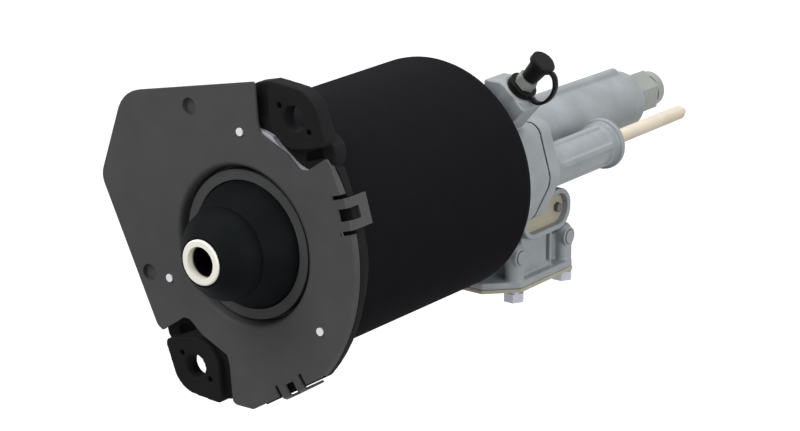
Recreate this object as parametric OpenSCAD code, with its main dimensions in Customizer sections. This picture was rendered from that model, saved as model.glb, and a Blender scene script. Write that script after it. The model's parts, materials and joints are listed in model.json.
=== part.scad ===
// Clutch servo: an air cylinder with a coaxial hydraulic plunger, a relay valve and a wear indicator.
// Origin on the cylinder axis in the plane of the two ear pads, +Y towards the rear, +Z up.

/* [Mounting ears] */
// Distance between the two fixing holes
ear_pitch = 165; // [160:1:170]
// Angle of the line through both holes, from the horizontal
ear_angle = 65; // [62:1:68]
// Radius of each fixing hole
ear_hole_r = 6.75; // [5:0.25:7]
// Radius of the machined pad round each hole
ear_pad_r = 16.3; // [15:0.1:17]
// Thickness of each ear
ear_t = 9.5; // [8:0.5:12]

/* [Front cover] */
// Depth of the cover's face behind the pads
cover_face = 4.4; // [4.2:0.1:5.4]
// Thickness of the cover from face to back
cover_t = 11; // [10:0.5:14]
// Radius of the cover's rim
cover_r = 71; // [70:0.5:74]
// Radius of the opening for the push rod
cover_hole_r = 24; // [20:0.5:25]
// Length of the spigot inside the cylinder shell
spigot_len = 10; // [7:0.5:14]
// Wall of the spigot
spigot_wall = 7; // [5:0.5:9]

/* [Cylinder shell] */
// Outer radius of the shell
drum_r = 67.5; // [66:0.25:69]
// Wall of the shell
drum_wall = 3; // [2.5:0.25:3.5]
// Length of the shell
drum_len = 157; // [150:1:162]
// Radius of the bend at the shell's rear edge
drum_bend = 8; // [4.5:0.5:9]

/* [Shield plate] */
// Thickness of the sheet
plate_t = 1.4; // [1:0.1:2]
// Radius of the round side of the plate
plate_r = 95.3; // [94:0.1:96.5]
// How far the bent rim reaches back
rim_depth = 2.2; // [1.6:0.1:2.4]
// Radius of the dish round the boot
dish_r = 43.5; // [42.5:0.5:45]
// Depth of the dish
dish_depth = 9.4; // [8:0.2:10]
// Radius of the hole in the dish floor
dish_hole_r = 33; // [32:0.25:34]
// Width of each clip tab
clip_w = 16.5; // [12:0.5:18]
// Length of each clip tab behind the rim
clip_len = 12.6; // [8:0.2:14]

/* [Push rod and boot] */
// Outer radius of the push rod
rod_r = 12.25; // [11:0.25:13]
// Radius of the bore in the rod's front end
rod_bore_r = 8.65; // [7:0.05:9.5]
// Depth of that bore
rod_bore_len = 60; // [40:5:80]
// How far the rod stands in front of the pads at rest
rod_proud = 34.6; // [30:0.2:45]
// Radius of the ball at the rod's rear end
ball_r = 11; // [10:0.25:12]
// Radius of the boot's large lobe
boot_r = 34.5; // [34:0.25:35.5]
// Wall of the boot
boot_wall = 2; // [1.4:0.1:2.6]

/* [Air piston] */
// Working stroke of the piston
stroke = 50; // [30:1:60]
// Length of the piston's rim
piston_len = 18; // [16:1:24]
// Height of the hub that stops the piston against the cylinder head
hub_stop_len = 14; // [10:1:20]
// Wire radius of the return spring
spring_wire_r = 2.25; // [1.5:0.25:2.75]
// Mean radius of the return spring
spring_r = 29; // [28.5:0.25:29.25]
// Turns of the return spring
spring_turns = 7; // [5:1:8]

/* [Hydraulics] */
// Radius of the plunger
plunger_r = 12.7; // [11:0.1:13.5]
// Radius of the fluid chamber
chamber_r = 14.3; // [14:0.1:15.5]
// Outer radius of the chamber tube at its rear end
tube_r = 18.2; // [17.6:0.1:20]
// Length of the tube behind the flange
tube_len = 147; // [140:1:180]
// Width across the flats of the inlet fitting
fitting_af = 24; // [22:1:27]
// Length of the inlet fitting's hexagon
fitting_len = 22.5; // [18:0.5:28]
// Radius of the threaded inlet hole
inlet_r = 5.25; // [4:0.25:6]
// Depth of the threaded inlet hole
inlet_len = 14; // [10:1:16]

/* [Rear castings] */
// Radius of both castings round the axis
flange_r = 41; // [40:0.5:42]
// Length of the cylinder head
head_len = 34; // [32:0.5:40]
// Thickness of the housing flange
flange_t = 10; // [8:0.5:13]
// Thickness of the gasket between the castings
joint_t = 0.8; // [0.5:0.1:1.2]
// Radius of the circle of the head bolts
bolt_circle_r = 43; // [42:0.25:43.5]
// Radius of the boss round each head bolt
boss_r = 8.5; // [8:0.25:9]

/* [Wear indicator] */
// Distance of the indicator from the axis, sideways
ind_x = 38; // [37:0.5:39]
// Height of the indicator from the axis
ind_z = -3.5; // [-5:0.5:-2]
// Radius of the indicator rod
ind_rod_r = 4.2; // [3:0.1:4.6]
// Outer radius of the indicator tube
ind_tube_r = 13; // [12:0.25:13.5]
// Length of the indicator tube
ind_tube_len = 69.4; // [60:0.2:90]
// Length of indicator rod left outside the tube at full stroke
ind_spare = 39.6; // [10:0.2:50]

/* [Relay valve] */
// Distance of the valve axis behind the flange
valve_back = 14; // [12:0.5:18]
// Radius of the valve body
valve_r = 31; // [29.5:0.25:32]
// Depth of the valve flange's top face below the axis
valve_depth = 68.5; // [67:0.5:74]
// Thickness of the valve flange
valve_flange_t = 4.4; // [3.5:0.1:6]
// Half width of the valve flange
valve_half_w = 36; // [35.5:0.25:39]
// Half length of the valve flange
valve_half_l = 42.7; // [42:0.25:46]
// Corner cut of the valve flange
valve_cut = 16.4; // [14:0.2:17]
// Travel of the control piston
relay_travel = 3; // [2:0.1:4]
// Free travel before the control piston meets the inlet valve
relay_gap = 1.1; // [0.8:0.1:1.5]
// Radius of the threaded air supply hole
supply_r = 7.2; // [6:0.1:8]

/* [Bleeder] */
// Direction of the bleeder from the horizontal
bleed_angle = 49; // [46:1:52]
// Distance of the bleeder behind the shell
bleed_back = 15; // [14:0.5:20]
// Distance of the bleeder's seat from the axis
bleed_seat = 69; // [68.5:0.25:74]

/* [Hidden] */
$fn = 48;
hull_fn = 32;
// Small overlap that makes cuts run past a face
eps = 0.2;
// Radial gap of a running fit, and of a loose one
run_gap = 0.06;
slip_gap = 0.1;
loose_gap = 0.3;

// Stations along the axis
plate_front = 0;
plate_back = plate_front + plate_t;
rim_back = plate_back + rim_depth;
cover_back = cover_face + cover_t;
dish_floor = plate_front + dish_depth;
cover_recess = dish_floor + plate_t + slip_gap;
drum_rear = cover_back + drum_len;
head_back = drum_rear + head_len;
flange_front = head_back + joint_t;
flange_back = flange_front + flange_t;
tube_back = flange_back + tube_len;
drum_in_r = drum_r - drum_wall;
rear_wall = drum_rear - drum_wall;

// Ears
ear_r = ear_pitch / 2;
ear_ledge_y = cover_face;
ear_root_y = 5;
ear_pocket_y = 8.5;
nut_space_r = 12;
ear_dowel_r = 1.7;
// Places in an ear's own frame: x across, y outwards from the fixing hole
ear_dowels = [[11.1, -1], [-11.1, 0.8]];
ear_ledge_corners = [[6, -32], [29.5, -32], [29.5, -8.2], [28, -4], [25.6, -1.2], [20, 1], [6, -8]];
ear_root_corners = [[-34, -28], [-34, -3.6], [-31.6, 0.3], [-23.6, 6.8], [-14, 5], [0, -2], [14, -6], [26, -28]];
ear_pocket_corners = [[11, -15.6], [13.6, -19.4], [22.2, -10.4], [19.4, -6]];
ear_notch_corners = [[-41, 21.5], [-30, 3], [-19.6, -15.2], [-15.6, -19.9], [4, -19.7], [14, -22.4],
                     [18.2, -20.6], [25.3, -8.4], [27, -5.2], [48, 24]];
cover_seal_r = 1.8;

// Centre of the plate's round side, and the part of the circle it follows
plate_arc = [-22, -0.5];
plate_arc_from = -40;
plate_arc_to = 35;
plate_arc_angles = [plate_arc_from : 5 : plate_arc_to];
// A place on the round side: its angle, how far out of the edge it lies, and how it is turned from that angle
function on_arc(angle, out = 0, turn = 0) =
    [plate_arc[0] + (plate_r + out) * cos(angle), plate_arc[1] + (plate_r + out) * sin(angle), angle + turn];
// A place on the straight edge between two rounded corners, along from the first, in the same way
function on_edge(p, q, along, out = 0, turn = 0) =
    let (d = [q[0] - p[0], q[1] - p[1]], face = atan2(d[1], d[0]) + 90 - asin((p[2] - q[2]) / norm(d)))
    [p[0] + (p[2] + out) * cos(face) + along * sin(face), p[1] + (p[2] + out) * sin(face) - along * cos(face),
     face + turn];
// Shield plate outline: each corner is [x, z, radius]
plate_arc_corner = 2;
plate_arc_end = [each on_arc(plate_arc_from, -plate_arc_corner) * [[1, 0], [0, 1], [0, 0]], plate_arc_corner];
plate_low_corner = [4, -85.9, 4.2];
plate_ear_corner = [each on_arc(34.074, -0.167) * [[1, 0], [0, 1], [0, 0]], 2];
plate_corners = [[-66.8, 53.5, 20], [-86.2, 21.9, 12], [-57.8, -53.3, 4.8], [-5.5, -85.7, 4.5], [20, 86.4, 6],
                 plate_low_corner, plate_ear_corner];
cover_rim_t = 5.5;
cover_rim_grow = 0.7;
// Each snap tab is [x, z, direction it faces] on the plate's edge
clips = [on_arc(18.644, 0.107, -2.144), on_edge(plate_arc_end, plate_low_corner, 21.716, 0.511, 1.066)];
clip_slot = 7;
clip_slot_w = 2.3;
clip_out = 2.2;
clip_window_w = 6.6;
clip_window_back = 7.2;
rivet_r = 2.2;
rivet_places = [[-0.8, 62], [-51.6, -27.9], [51.1, -36.2]];
dimple_places = [[-35.3, 69.9], [-66.3, -27.8]];
dimple_r = 4.7;
dimple_depth = 2.2;

// Boot and its clamp ring
boot_split = -13.8;
boot_ring_in = boot_r + 0.5;
boot_ring_out = dish_r - 3;
boot_ring_t = 6;
boot_tip = -rod_proud + 1.5;

// Piston, plunger and push rod
seal_stack = drum_rear - 11;
hub_back = seal_stack - slip_gap;
piston_back = hub_back - hub_stop_len;
piston_front = piston_back - piston_len;
piston_r = drum_in_r - 1;
web_t = 6;
web_front = piston_front + 7;
hub_r = 20;
ball_y = piston_front - 7;
socket_front = ball_y - 5;
tube_rod_back = ball_y - ball_r + 1;
spring_front = cover_back;
spring_back = web_front;
lip_t = 5;
guide_t = 5;
spigot_hole_r = 30;
seal_bore_r = 19;
head_seal_in = 30.8;
head_seal_out = 33.2;
chamber_front = drum_rear + 11;
plunger_back = tube_back - 27;
plunger_nose_r = 8;

// Head bolts, which hold both castings on the shell from inside
bolt_angles = [26, 154, 212, 328];
bolt_r = 4;
bolt_af = 13;
bolt_head_t = 5.3;
bolt_washer_t = 1.6;
bolt_end = flange_back - 2;

// Inlet fitting
port_r = 8.5;
port_len = 15;
washer_t = 1.5;
hex_front = tube_back + washer_t;
hex_back = hex_front + fitting_len;
collar_back = hex_back + 10.3;

// Wear indicator
ind_bore_r = 7;
ind_ring_r = ind_tube_r + 2.3;
ind_ring_t = 3.4;
ind_back = flange_back + ind_tube_len;
ind_tip = ind_back + stroke + ind_spare;
ind_head_r = 5.5;

// Relay valve
valve_y = flange_back + valve_back;
valve_top = -valve_depth;
valve_under = valve_top - valve_flange_t;
valve_gasket_t = 0.4;
valve_cover_t = 1.5;
valve_cover_top = valve_under - valve_gasket_t;
valve_cover_under = valve_cover_top - valve_cover_t;
valve_bolt_x = valve_half_w - 6;
valve_bolt_dy = 25;
valve_bolt_r = 3;
valve_bolt_af = 11;
plug_r = 5.7;
plug_z = valve_top + 14;
plug_face = valve_half_w - 1;
seat_z = -51;
seat_t = 4;
control_r = 8;
control_top = -24;
control_len = 12;
delivery_r = 11;
delivery_top = control_top - control_len - relay_travel - 1;
passage_z = -42;
passage_r = 3.5;
passage_pad_r = 8.5;
supply_chamber_r = 12.5;
supply_z = valve_top + 11.5;
supply_face = valve_half_w + 2;
supply_len = 15;
seat_tube_r = 4.5;
seat_hole_r = 6;
valve_disc_r = 8;
valve_disc_t = 3;
valve_stem_r = 3;
guide_top = -62;
exhaust_r = 6;
window_z = -34;
window_dy = 12;
window_r = 12.4;
window_in_r = 9.2;
window_depth = 6;
screw_dy = 14.6;

// Bleeder, measured outwards along its own axis from its seat
bleed_y = drum_rear + bleed_back;
bleed_thread_r = 3.9;
bleed_base_r = 8.5;
bleed_ring_t = 4;
bleed_hex_af = 11;
bleed_hex_t = 5;
bleed_bore = 18.6;
nipple_r = 3.2;
nipple_end = 22.4;
cap_front = 10.2;
cap_len = 14.5;
cap_head_r = 7.4;
cap_head_t = 3.6;
cap_neck_r = 4.9;
strap_w = 4;
strap_t = 1.7;
// Middle line of the strap: [across, out] from the bleeder axis and its seat
strap_path = [[8.93, 2.2], [11, 2], [13.5, 3.4], [15.6, 6.4], [16.6, 10.5], [16.4, 14.8],
              [14.8, 18.8], [12, 21.8], [9.6, 22.9], [7.83, 22.9]];

// Turns a shape that stands on the XY plane so that it stands along +Y from y
module along_y(y) translate([0, y, 0]) rotate([-90, 0, 0]) children();

// A round bar along Y, from y0 to y1, at x, z
module bar_y(r, y0, y1, x = 0, z = 0) translate([x, y0, z]) rotate([-90, 0, 0]) cylinder(r = r, h = y1 - y0);

// A round bar along X, from x0 to x1, at y, z
module bar_x(r, x0, x1, y, z) translate([x0, y, z]) rotate([0, 90, 0]) cylinder(r = r, h = x1 - x0);

// A ring along Y
module ring_y(r_out, r_in, y0, y1, x = 0, z = 0) {
    difference() {
        bar_y(r_out, y0, y1, x, z);
        bar_y(r_in, y0 - eps, y1 + eps, x, z);
    }
}

// A profile of [radius, y] turned about the Y axis
module turned(profile) rotate([-90, 0, 0]) rotate_extrude() polygon(profile);

// A front outline, drawn in x and z, that fills the space from y0 to y1
module slab(y0, y1) translate([0, y1, 0]) rotate([90, 0, 0]) linear_extrude(height = y1 - y0) children();

// A hexagonal bar along Y, from y0 to y1
module hex_y(af, y0, y1, x = 0, z = 0, turn = 0)
    translate([x, y0, z]) rotate([-90, turn, 0]) cylinder(r = af / sqrt(3), h = y1 - y0, $fn = 6);

// The frame of one ear: x across, y outwards through the fixing hole
module ear_frame(side) rotate([0, 0, ear_angle - 90 + side * 180]) children();

// The frame of the bleeder: +Z out along its axis from the seat
module bleeder_frame()
    translate([0, bleed_y, 0]) rotate([0, 90 - bleed_angle, 0]) translate([0, 0, bleed_seat]) children();

// A disc at a place in the front outline
module spot(place, r) translate(place) circle(r = r, $fn = hull_fn);

// Points of one ring of a tube, which stands across the direction turn
function ring_points(c, r, out, sides) =
    [for (i = [0 : sides - 1]) c + r * (cos(i * 360 / sides) * out + sin(i * 360 / sides) * [0, 0, 1])];

// A coil about the Z axis from z = 0 to height, as one closed solid
module coil(mean_r, wire_r, height, turns, per_turn, sides) {
    steps = turns * per_turn;
    rise = height - 2 * wire_r;
    points = [for (k = [0 : steps])
        let (a = k * 360 / per_turn, c = [mean_r * cos(a), mean_r * sin(a), wire_r + rise * k / steps])
        each ring_points(c, wire_r, [cos(a), sin(a), 0], sides)];
    faces = concat(
        [[for (i = [0 : sides - 1]) i]],
        [for (k = [0 : steps - 1], i = [0 : sides - 1])
            [k * sides + i, (k + 1) * sides + i, (k + 1) * sides + (i + 1) % sides, k * sides + (i + 1) % sides]],
        [[for (i = [sides - 1 : -1 : 0]) steps * sides + i]]);
    polyhedron(points = points, faces = faces, convexity = turns * 2);
}

// FRONT COVER

module ear_face() {
    ear_frame(0) hull() {
        spot([0, ear_r], ear_pad_r);
        spot([-20.2, ear_r + 7.6], 2.2);
        spot([20, ear_r - 0.8], 3);
    }
}

// An outline in the upper ear's frame, from corners given round its fixing hole, with its corners rounded
module ear_shape(corners, r)
    ear_frame(0) translate([0, ear_r]) offset(r = r, $fn = 24) offset(delta = -r) polygon(corners);

module both_ears() {
    children();
    rotate([0, 180, 0]) children();
}

// Fixing hole and dowel holes of the upper ear, and the space for a nut behind it
module ear_holes() {
    rotate([0, 90 - ear_angle, 0]) {
        bar_y(ear_hole_r, -eps, ear_t + eps, 0, ear_r);
        bar_y(nut_space_r, ear_t, cover_back + eps, 0, ear_r);
        for (p = ear_dowels) bar_y(ear_dowel_r, -eps, ear_t + eps, p[0], ear_r + p[1]);
    }
}

module front_cover() {
    color([0.13, 0.13, 0.14])
    difference() {
        union() {
            ring_y(cover_r, cover_hole_r, cover_face, cover_back);
            ring_y(drum_in_r - slip_gap, cover_hole_r + 1, cover_back - eps, cover_back + spigot_len);
            slab(cover_face, cover_face + cover_rim_t) intersection() {
                plate_hull(cover_rim_grow);
                translate([10, -100]) square([100, 152]);
            }
            both_ears() {
                slab(0, ear_t) ear_face();
                slab(ear_ledge_y, cover_back - 2) ear_shape(ear_ledge_corners, 1.5);
                slab(ear_root_y, cover_back - 2) ear_shape(ear_root_corners, 1.5);
            }
        }
        both_ears() slab(-eps, ear_pocket_y) ear_shape(ear_pocket_corners, 1);
        bar_y(dish_r + 1.5, cover_face - 5, cover_recess);
        bar_y(cover_hole_r, cover_face - 5, cover_back + spigot_len + eps);
        bar_y(drum_in_r - slip_gap - spigot_wall, cover_back, cover_back + spigot_len + eps);
        ring_y(drum_in_r + eps, drum_in_r - slip_gap - 2 * cover_seal_r,
               cover_back + 3, cover_back + 3 + 2 * cover_seal_r);
        both_ears() ear_holes();
    }
}

module cover_seal() {
    color([0.08, 0.08, 0.08])
    along_y(cover_back + 3 + cover_seal_r) rotate_extrude()
        translate([drum_in_r - slip_gap - cover_seal_r, 0]) circle(r = cover_seal_r - 0.05);
}

// CYLINDER SHELL

module cylinder_shell() {
    color([0.1, 0.1, 0.11])
    difference() {
        union() {
            turned([[drum_r - drum_wall, cover_back], [drum_r, cover_back], [drum_r, drum_rear - drum_bend],
                    for (a = [0 : 15 : 90])
                        [drum_r - drum_bend * (1 - cos(a)), drum_rear - drum_bend * (1 - sin(a))],
                    [spigot_hole_r, drum_rear], [spigot_hole_r, rear_wall],
                    for (a = [90 : -15 : 0])
                        [drum_r - drum_bend + (drum_bend - drum_wall) * cos(a),
                         drum_rear - drum_bend + (drum_bend - drum_wall) * sin(a)]]);
        }
        for (a = bolt_angles)
            bar_y(bolt_r + slip_gap, rear_wall - eps, drum_rear + eps,
                  bolt_circle_r * cos(a), bolt_circle_r * sin(a));
        bar_y(ind_rod_r + 1, rear_wall - eps, drum_rear + eps, ind_x, ind_z);
        bar_y(passage_r + 0.5, rear_wall - eps, drum_rear + eps, 0, passage_z);
    }
}

// SHIELD PLATE

// The plate's outline before the gaps round the ears are cut
module plate_hull(grow = 0) {
    hull() {
        for (c = plate_corners) spot([c[0], c[1]], c[2] + grow);
        for (a = plate_arc_angles)
            spot(plate_arc + (plate_r - plate_arc_corner) * [cos(a), sin(a)], plate_arc_corner + grow);
    }
}

module plate_outline() {
    offset(r = 1.5, $fn = 16) offset(delta = -1.5) difference() {
        plate_hull();
        for (side = [0, 1]) rotate(side * 180) ear_shape(ear_notch_corners, 3);
    }
}

module rim_sector(a0, a1, r)
    polygon([[0, 0], for (i = [0 : 8]) let (a = a0 + (a1 - a0) * i / 8) r * [cos(a), sin(a)]]);

// The bent rim follows the round side from one ear to the lower clip
module plate_rim() {
    translate([plate_arc[0], 0, plate_arc[1]]) intersection() {
        turned([[plate_r - plate_t, plate_front + 0.4], [plate_r, plate_front], [plate_r + 1, rim_back],
                [plate_r + 1 - plate_t, rim_back]]);
        slab(plate_front - 1, rim_back + 1) rim_sector(-39, 34.2, plate_r * 2);
    }
}

// The frame of one snap tab: +X outwards from the plate's edge
module clip_frame(c) translate([c[0], 0, c[1]]) rotate([0, -c[2], 0]) children();

module clip_cuts() {
    for (c = clips) clip_frame(c) {
        for (s = [-1, 1])
            translate([-clip_slot, plate_front - eps, s * (clip_w + clip_slot_w) / 2 - clip_slot_w / 2])
                cube([clip_slot + 6, rim_back + 2, clip_slot_w]);
        translate([-5.2, plate_front - eps, -clip_window_w / 2])
            cube([10, clip_window_back + plate_t + eps, clip_window_w]);
    }
}

module clip_tabs() {
    back = rim_back + clip_len;
    for (c = clips) clip_frame(c) translate([0, 0, -clip_w / 2]) linear_extrude(height = clip_w)
        polygon([[-4, plate_front], [0.8, plate_front], [clip_out, plate_front + 2.4], [clip_out, back],
                 [clip_out - plate_t, back], [clip_out - plate_t, plate_front + 2.8], [0, plate_front + plate_t],
                 [-4, plate_front + plate_t]]);
}

module shield_plate() {
    color([0.29, 0.29, 0.29])
    difference() {
        union() {
            difference() {
                slab(plate_front, plate_back) plate_outline();
                bar_y(dish_r, plate_front - eps, plate_back + eps);
            }
            plate_rim();
            clip_tabs();
            for (p = dimple_places) bar_y(dimple_r + 1.1, plate_front + 0.4, plate_back + 1.8, p[0], p[1]);
            turned([[dish_r, plate_front], [dish_r + plate_t, plate_back],
                    [dish_r - 1.5 + plate_t, dish_floor + plate_t],
                    [dish_hole_r, dish_floor + plate_t], [dish_hole_r, dish_floor], [dish_r - 1.5, dish_floor]]);
        }
        clip_cuts();
        for (p = rivet_places) bar_y(rivet_r - 0.7, plate_front - eps, plate_back + eps, p[0], p[1]);
        for (p = dimple_places) bar_y(dimple_r, plate_front - eps, plate_front + dimple_depth, p[0], p[1]);
    }
}

module shield_gasket() {
    color([0.72, 0.72, 0.75])
    slab(plate_back + slip_gap, cover_face) difference() {
        circle(r = ear_r - 17);
        circle(r = dish_r + plate_t + 1);
        for (side = [0, 1]) ear_frame(side) hull() {
            spot([-14 * side, ear_r], ear_pad_r + 3.4);
            spot([12, ear_r - 2.5], ear_pad_r + 3.4);
        }
        for (p = rivet_places) translate(p) circle(r = rivet_r + 1.5);
    }
}

module shield_rivets() {
    color([0.86, 0.86, 0.88])
    for (p = rivet_places) {
        bar_y(rivet_r, plate_front - 0.8, plate_front, p[0], p[1]);
        bar_y(rivet_r - 0.8, plate_front - 0.1, cover_face, p[0], p[1]);
    }
}

// BOOT

module boot_bellows() {
    color([0.08, 0.09, 0.09])
    turned([[dish_hole_r + 0.5, dish_floor - 0.1], [boot_r + 0.4, dish_floor - 0.1], [boot_r + 0.4, dish_floor - 4],
            [boot_r + 0.2, 2], [boot_r - 0.6, -1.6], [boot_r - 2.2, -5], [boot_r - 4.4, -8],
            [boot_r - 7, -10.8], [boot_r - 9.6, boot_split + 0.4], [boot_r - 9.6 - boot_wall, boot_split + 0.4],
            [boot_r - 7 - boot_wall, -9.8], [boot_r - 4.4 - boot_wall, -7], [boot_r - 2.2 - boot_wall, -4],
            [boot_r - 0.6 - boot_wall, -0.6], [boot_r - boot_wall, 3]]);
}

module boot_nose() {
    color([0.13, 0.14, 0.15])
    turned([[rod_r + run_gap, boot_tip], [rod_r + 1.2, boot_tip], [rod_r + 2.6, boot_tip + 1.4],
            [rod_r + 6.2, boot_tip + 4.4], [rod_r + 9.8, boot_tip + 8.2], [rod_r + 12.2, boot_tip + 12.4],
            [rod_r + 13, boot_tip + 16], [rod_r + 12.8, boot_split], [rod_r + 12.8 - boot_wall, boot_split],
            [rod_r + 10.4, boot_tip + 14], [rod_r + 8.4, boot_tip + 10], [rod_r + 5.2, boot_tip + 6.8],
            [rod_r + 2.2, boot_tip + 4.4], [rod_r + run_gap, boot_tip + 4]]);
}

module boot_ring() {
    color([0.26, 0.26, 0.26])
    ring_y(boot_ring_out, boot_ring_in, dish_floor - boot_ring_t, dish_floor - 0.05);
}

module return_spring() {
    color([0.55, 0.57, 0.6])
    along_y(spring_front + 0.1)
        coil(spring_r, spring_wire_r, spring_back - spring_front - 0.2, spring_turns, 16, 8);
}

// REAR CASTINGS

// Outline of both castings: bolt bosses and the indicator's lobe, drawn together on each side
module casting_outline(grow = 0) {
    circle(r = flange_r + grow);
    hull() {
        for (a = [bolt_angles[0], bolt_angles[3]]) spot(bolt_circle_r * [cos(a), sin(a)], boss_r + grow);
        spot([ind_x, ind_z], ind_tube_r + 2.6 + grow);
        spot([10, 0], flange_r - 14);
    }
    hull() {
        for (a = [bolt_angles[1], bolt_angles[2]]) spot(bolt_circle_r * [cos(a), sin(a)], boss_r + grow);
        spot([-10, 0], flange_r - 14);
    }
    // pad below, round the air passage
    translate([0, passage_z]) circle(r = passage_pad_r + grow);
    translate([-passage_pad_r - grow, passage_z]) square([2 * (passage_pad_r + grow), 18]);
}

module bolt_places() {
    for (a = bolt_angles) translate([bolt_circle_r * cos(a), 0, bolt_circle_r * sin(a)]) children();
}

module bolt_bores(y0, y1) {
    bolt_places() bar_y(bolt_r + slip_gap, y0, y1);
}

// Block that carries the bleeder: a flat top, and a sloping face square to the bleeder
module bleeder_block() {
    out = [cos(bleed_angle), sin(bleed_angle)];
    across = [sin(bleed_angle), -cos(bleed_angle)];
    seat = (bleed_seat - 1) * out;
    top = seat - 8.5 * across;
    low = seat + 13 * across;
    slab(bleed_y - 9.5, bleed_y + 9)
        polygon([top, low, low - 32 * out, [top[0] - 11, 20], [top[0] - 11, top[1] - 1], [top[0] - 10, top[1]]]);
}

module cylinder_head() {
    color([0.6, 0.63, 0.64])
    difference() {
        union() {
            slab(drum_rear, head_back) casting_outline();
            bar_y(spigot_hole_r - slip_gap, seal_stack, drum_rear + eps);
            bleeder_block();
            bleeder_frame() translate([0, 0, -12]) cylinder(r = 10.3, h = 12);
        }
        bar_y(seal_bore_r, seal_stack - eps, chamber_front);
        bar_y(chamber_r, chamber_front - eps, head_back + eps);
        ring_y(seal_bore_r + 1.2, seal_bore_r - eps, seal_stack + 1.2, seal_stack + 2.7);
        ring_y(head_seal_out + 0.1, head_seal_in - 0.1, drum_rear - eps, drum_rear + 2.2);
        bar_y(ind_rod_r + run_gap, drum_rear - eps, head_back + eps, ind_x, ind_z);
        bar_y(passage_r, drum_rear - eps, head_back + eps, 0, passage_z);
        bolt_bores(drum_rear - eps, head_back + eps);
        bleeder_frame() {
            translate([0, 0, -bleed_bore]) cylinder(r = bleed_thread_r, h = bleed_bore + eps);
            translate([0, 0, -bleed_seat + chamber_r - 1]) cylinder(r = 1.6, h = bleed_seat - chamber_r);
        }
    }
}

module head_seal() {
    color([0.08, 0.08, 0.08])
    ring_y(head_seal_out, head_seal_in, drum_rear + 0.05, drum_rear + 2.1);
}

module seal_circlip() {
    color([0.6, 0.6, 0.62])
    ring_y(seal_bore_r + 1.1, seal_bore_r - 3, seal_stack + 1.3, seal_stack + 2.6);
}

module rod_wiper() {
    color([0.12, 0.12, 0.12])
    ring_y(seal_bore_r - 0.05, plunger_r + run_gap, seal_stack + 2.7, seal_stack + 6.5);
}

module plunger_bush() {
    color([0.72, 0.6, 0.32])
    ring_y(seal_bore_r - 0.05, plunger_r + run_gap, seal_stack + 6.6, chamber_front - 5.1);
}

module plunger_seal() {
    color([0.1, 0.1, 0.1])
    ring_y(seal_bore_r - 0.05, plunger_r + run_gap, chamber_front - 5, chamber_front - 0.05);
}

module joint_gasket() {
    color([0.14, 0.15, 0.15])
    difference() {
        slab(head_back, flange_front) difference() {
            casting_outline();
            circle(r = chamber_r + 0.5);
            translate([ind_x, ind_z]) circle(r = ind_rod_r + 1);
            translate([0, passage_z]) circle(r = passage_r + 0.5);
        }
        bolt_bores(head_back - eps, flange_front + eps);
    }
}

module tube_profile() {
    turned([[chamber_r - 1, flange_back - 1], [tube_r + 5, flange_back - 1], [tube_r + 3.6, flange_back + 2],
            [tube_r + 2.4, flange_back + 9], [tube_r + 0.3, tube_back - 4], [tube_r, tube_back - 1.2],
            [tube_r - 1.2, tube_back], [chamber_r - 6, tube_back]]);
}

// Raised rib along the top of the tube, over the fluid gallery
module tube_rib() {
    hull() {
        translate([0, flange_back + 1, tube_r + 2.6]) sphere(r = 3.6, $fn = 20);
        translate([0, tube_back - 10, tube_r + 0.3]) sphere(r = 3.4, $fn = 20);
    }
}

module indicator_tube() {
    translate([ind_x, 0, ind_z]) {
        bar_y(ind_tube_r - 1.3, flange_back - 1, ind_back - 1);
        bar_y(ind_tube_r, flange_back - 1, flange_back + 7);
        bar_y(ind_tube_r, ind_back - 10, ind_back - 1);
        bar_y(ind_ring_r, ind_back - ind_ring_t, ind_back);
        for (a = [12 : 72 : 300])
            rotate([0, -a, 0]) translate([0, flange_back, -1.7]) cube([ind_tube_r, ind_tube_len - 2, 3.4]);
    }
    // web between the two tubes
    translate([0, flange_back - 1, ind_z - 3]) cube([ind_x - ind_tube_r + 3, ind_tube_len - 14, 6]);
}

module valve_outline(grow = 0) {
    w = valve_half_w + grow;
    l = valve_half_l + grow;
    c = valve_cut;
    polygon([[w, -l + c], [w, l - c], [w - c, l], [-w + c, l],
             [-w, l - c], [-w, -l + c], [-w + c, -l], [w - c, -l]]);
}

module valve_bolt_places() {
    for (sx = [-1, 1], sy = [-1, 1]) translate([sx * valve_bolt_x, valve_y + sy * valve_bolt_dy, 0]) children();
}

module window_outline(r) {
    hull() for (s = [-1, 1]) translate([s * window_dy, 0]) circle(r = r, $fn = hull_fn);
}

// Puts an outline drawn in y and z on the right side of the valve body, from x0 to x1
module on_side(x0, x1)
    translate([x0, valve_y, window_z]) rotate([90, 0, 90]) linear_extrude(height = x1 - x0) children();

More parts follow.
